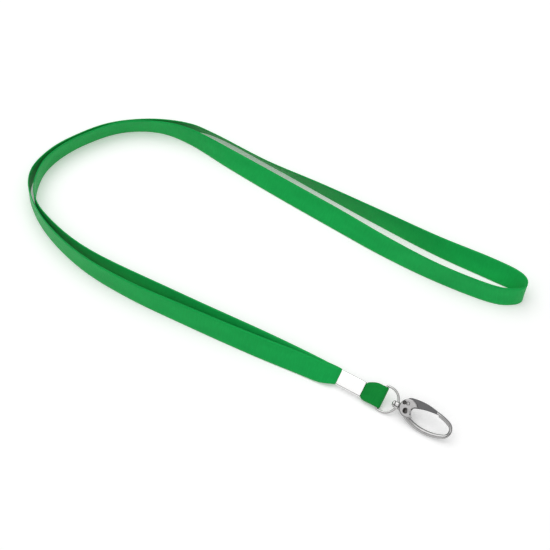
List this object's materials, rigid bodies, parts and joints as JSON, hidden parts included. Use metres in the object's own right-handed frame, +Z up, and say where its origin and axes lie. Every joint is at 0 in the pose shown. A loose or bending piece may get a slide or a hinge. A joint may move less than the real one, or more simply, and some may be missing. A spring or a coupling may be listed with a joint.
{
  "type": "lanyard badge holder",
  "caption": "Ribbon neck lanyard with a folded metal crimp, a swivelling D eye and an oval spring-gate hook for a badge.",
  "frame": {"origin": "bottom centre of the metal parts and the short loop as they lie, on the surface the lanyard rests on", "axes": "+X along the metal parts towards the tip of the hook, +Z up, +Y towards the side where the neck ribbon is laid"},
  "size_m": [0.2444, 0.1086, 0.01],
  "materials": {
    "ribbon": "satin woven polyester",
    "short_ribbon": "satin woven polyester",
    "crimp_metal": "bright nickel plate",
    "eye_metal": "bright nickel plate",
    "pin_metal": "bright nickel plate",
    "hook_metal": "nickel-plated die casting",
    "gate_metal": "nickel-plated die casting",
    "spring_steel": "spring wire"
  },
  "bodies": {
    "strap": {"neck_ribbon": "ribbon", "hook_loop": "short_ribbon", "crimp": "crimp_metal"},
    "eye": {"swivel_eye": "eye_metal"},
    "hook": {"hook_body": "hook_metal", "swivel_pin": "pin_metal", "gate_pin": "pin_metal", "gate_spring": "spring_steel"},
    "gate": {"gate": "gate_metal"}
  },
  "joints": [
    {"name": "eye_swing", "type": "hinge", "parent": "strap", "child": "eye", "pos_m": [-0.0064, -0.0002, 0.00386], "axis": [0, 0.809, 0.5878], "range_deg": [-100, 100]},
    {"name": "hook_swivel", "type": "hinge", "parent": "eye", "child": "hook", "pos_m": [0.0012, -0.0002, 0.00386], "axis": [1, 0, 0], "continuous": true},
    {"name": "gate_open", "type": "hinge", "parent": "hook", "child": "gate", "pos_m": [0.00542, 0.00207, 0.00551], "axis": [0, 0.5878, -0.809], "range_deg": [0, 28], "stiffness_Nm_per_rad": 0.02, "springref_deg": -34.38, "deforming": ["gate_spring"]}
  ]
}
